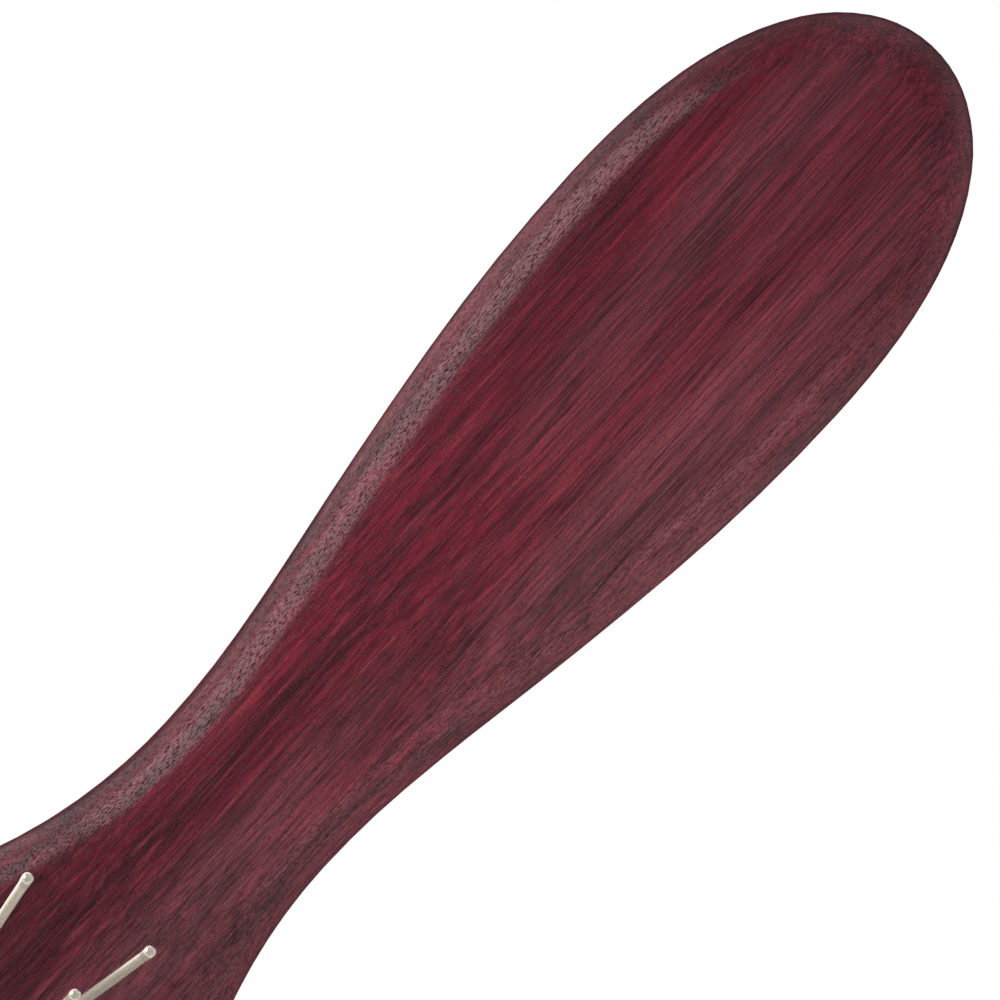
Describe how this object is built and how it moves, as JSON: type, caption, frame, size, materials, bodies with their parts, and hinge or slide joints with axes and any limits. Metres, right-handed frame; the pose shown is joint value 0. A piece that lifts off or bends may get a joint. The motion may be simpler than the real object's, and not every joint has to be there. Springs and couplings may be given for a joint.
{
  "type": "oval pin brush",
  "caption": "Oval air-cushioned pin brush for grooming a pet's coat: stained wooden body with a shaped grip, domed rubber pad and polished metal pins.",
  "frame": {"origin": "on the flat back, under the middle of the pad", "axes": "+X along the brush towards the end of its handle, +Y to its left seen from above, +Z out of the pad along the pins; the brush lies on its back"},
  "size_m": [0.2429, 0.08, 0.0612],
  "materials": {
    "stained_wood": "burgundy stain under a satin lacquer",
    "rubber": "matt black",
    "felt": "pressed felt",
    "pin_metal": "polished"
  },
  "bodies": {
    "root": {"wooden_body": "stained_wood", "rubber_cushion": "rubber", "felt_backing": "felt", "pin_01": "pin_metal", "pin_02": "pin_metal", "pin_03": "pin_metal", "pin_04": "pin_metal", "pin_05": "pin_metal", "pin_06": "pin_metal", "pin_07": "pin_metal", "pin_08": "pin_metal", "pin_09": "pin_metal", "pin_10": "pin_metal", "pin_11": "pin_metal", "pin_12": "pin_metal", "pin_13": "pin_metal", "pin_14": "pin_metal", "pin_15": "pin_metal", "pin_16": "pin_metal", "pin_17": "pin_metal", "pin_18": "pin_metal", "pin_19": "pin_metal", "pin_20": "pin_metal", "pin_21": "pin_metal", "pin_22": "pin_metal", "pin_23": "pin_metal", "pin_24": "pin_metal", "pin_25": "pin_metal", "pin_26": "pin_metal", "pin_27": "pin_metal", "pin_28": "pin_metal", "pin_29": "pin_metal", "pin_30": "pin_metal", "pin_31": "pin_metal", "pin_32": "pin_metal", "pin_33": "pin_metal", "pin_34": "pin_metal", "pin_35": "pin_metal", "pin_36": "pin_metal", "pin_37": "pin_metal", "pin_38": "pin_metal", "pin_39": "pin_metal", "pin_40": "pin_metal", "pin_41": "pin_metal", "pin_42": "pin_metal", "pin_43": "pin_metal", "pin_44": "pin_metal", "pin_45": "pin_metal", "pin_46": "pin_metal", "pin_47": "pin_metal", "pin_48": "pin_metal", "pin_49": "pin_metal", "pin_50": "pin_metal", "pin_51": "pin_metal", "pin_52": "pin_metal", "pin_53": "pin_metal", "pin_54": "pin_metal", "pin_55": "pin_metal", "pin_56": "pin_metal", "pin_57": "pin_metal"}
  },
  "joints": []
}
